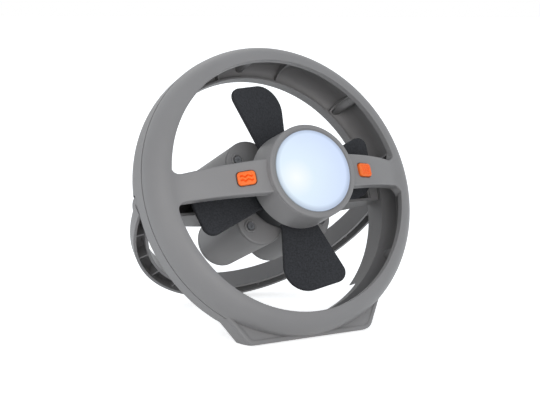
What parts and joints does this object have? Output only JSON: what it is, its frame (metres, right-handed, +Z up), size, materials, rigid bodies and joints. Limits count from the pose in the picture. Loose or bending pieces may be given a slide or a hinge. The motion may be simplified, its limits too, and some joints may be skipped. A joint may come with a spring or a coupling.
{
  "type": "portable camping fan",
  "caption": "Round ring-framed camping fan with foam blades, a lamp in the hub, a swing-out hoop stand and a battery barrel behind.",
  "frame": {"origin": "middle of the foot's ground face, on the surface the fan stands on", "axes": "+X to the right seen from the front, +Y towards the back, +Z up; the fan leans back on its open hoop"},
  "size_m": [0.23, 0.151, 0.2102],
  "materials": {
    "shell": "fine-textured moulded ABS, mid grey",
    "steel": "plated steel",
    "lens": "frosted polycarbonate, lit pale blue-white",
    "reflector": "white moulded plastic",
    "board": "green glass-epoxy board",
    "chips": "light-emitting chips",
    "button": "moulded orange elastomer",
    "black": "moulded black nylon",
    "foam": "closed-cell charcoal foam",
    "cell": "plain dark jacket",
    "brass": "nickel-brass contact",
    "screw": "zinc-plated steel"
  },
  "bodies": {
    "frame": {"front_shell": "shell", "rear_shell": "shell", "battery_housing": "shell", "contact_cap": "shell", "stand_pins": "steel", "pivot_washers": "steel", "lamp_bezel": "shell", "lamp_lens": "lens", "reflector": "reflector", "led_board": "board", "led_chips": "chips", "fan_switch": "board", "light_switch": "board", "motor_can": "steel", "motor_end_bell": "black", "motor_plate": "black", "plate_screws": "steel", "battery_cells": "cell", "cap_springs": "steel", "cap_screws": "screw", "shell_screws": "screw", "arm_screws": "screw"},
    "rotor": {"rotor_hub": "black", "motor_shaft": "steel", "blade_a": "foam", "blade_b": "foam", "blade_c": "foam", "blade_d": "foam", "hub_cap": "black", "hub_nut": "steel"},
    "stand": {"stand_hoop": "shell"},
    "fan_key": {"fan_button": "button"},
    "light_key": {"light_button": "button"},
    "cover": {"battery_cover": "shell", "cover_contacts": "brass"}
  },
  "joints": [
    {"name": "rotor_spin", "type": "hinge", "parent": "frame", "child": "rotor", "pos_m": [0, 0.02667, 0.11259], "axis": [0, 0.8972, -0.4417], "continuous": true},
    {"name": "stand_swing", "type": "hinge", "parent": "frame", "child": "stand", "pos_m": [0, 0.06175, 0.09532], "axis": [1, 0, 0], "range_deg": [-62.9, 0]},
    {"name": "fan_press", "type": "slide", "parent": "frame", "child": "fan_key", "axis": [0.3167, 0.851, -0.419], "range_m": [0, 0.001], "stiffness_N_per_m": 1200},
    {"name": "light_press", "type": "slide", "parent": "frame", "child": "light_key", "axis": [-0.3167, 0.851, -0.419], "range_m": [0, 0.001], "stiffness_N_per_m": 1200},
    {"name": "cover_pull", "type": "slide", "parent": "frame", "child": "cover", "axis": [0, 0.8972, -0.4417], "range_m": [0, 0.025]}
  ]
}
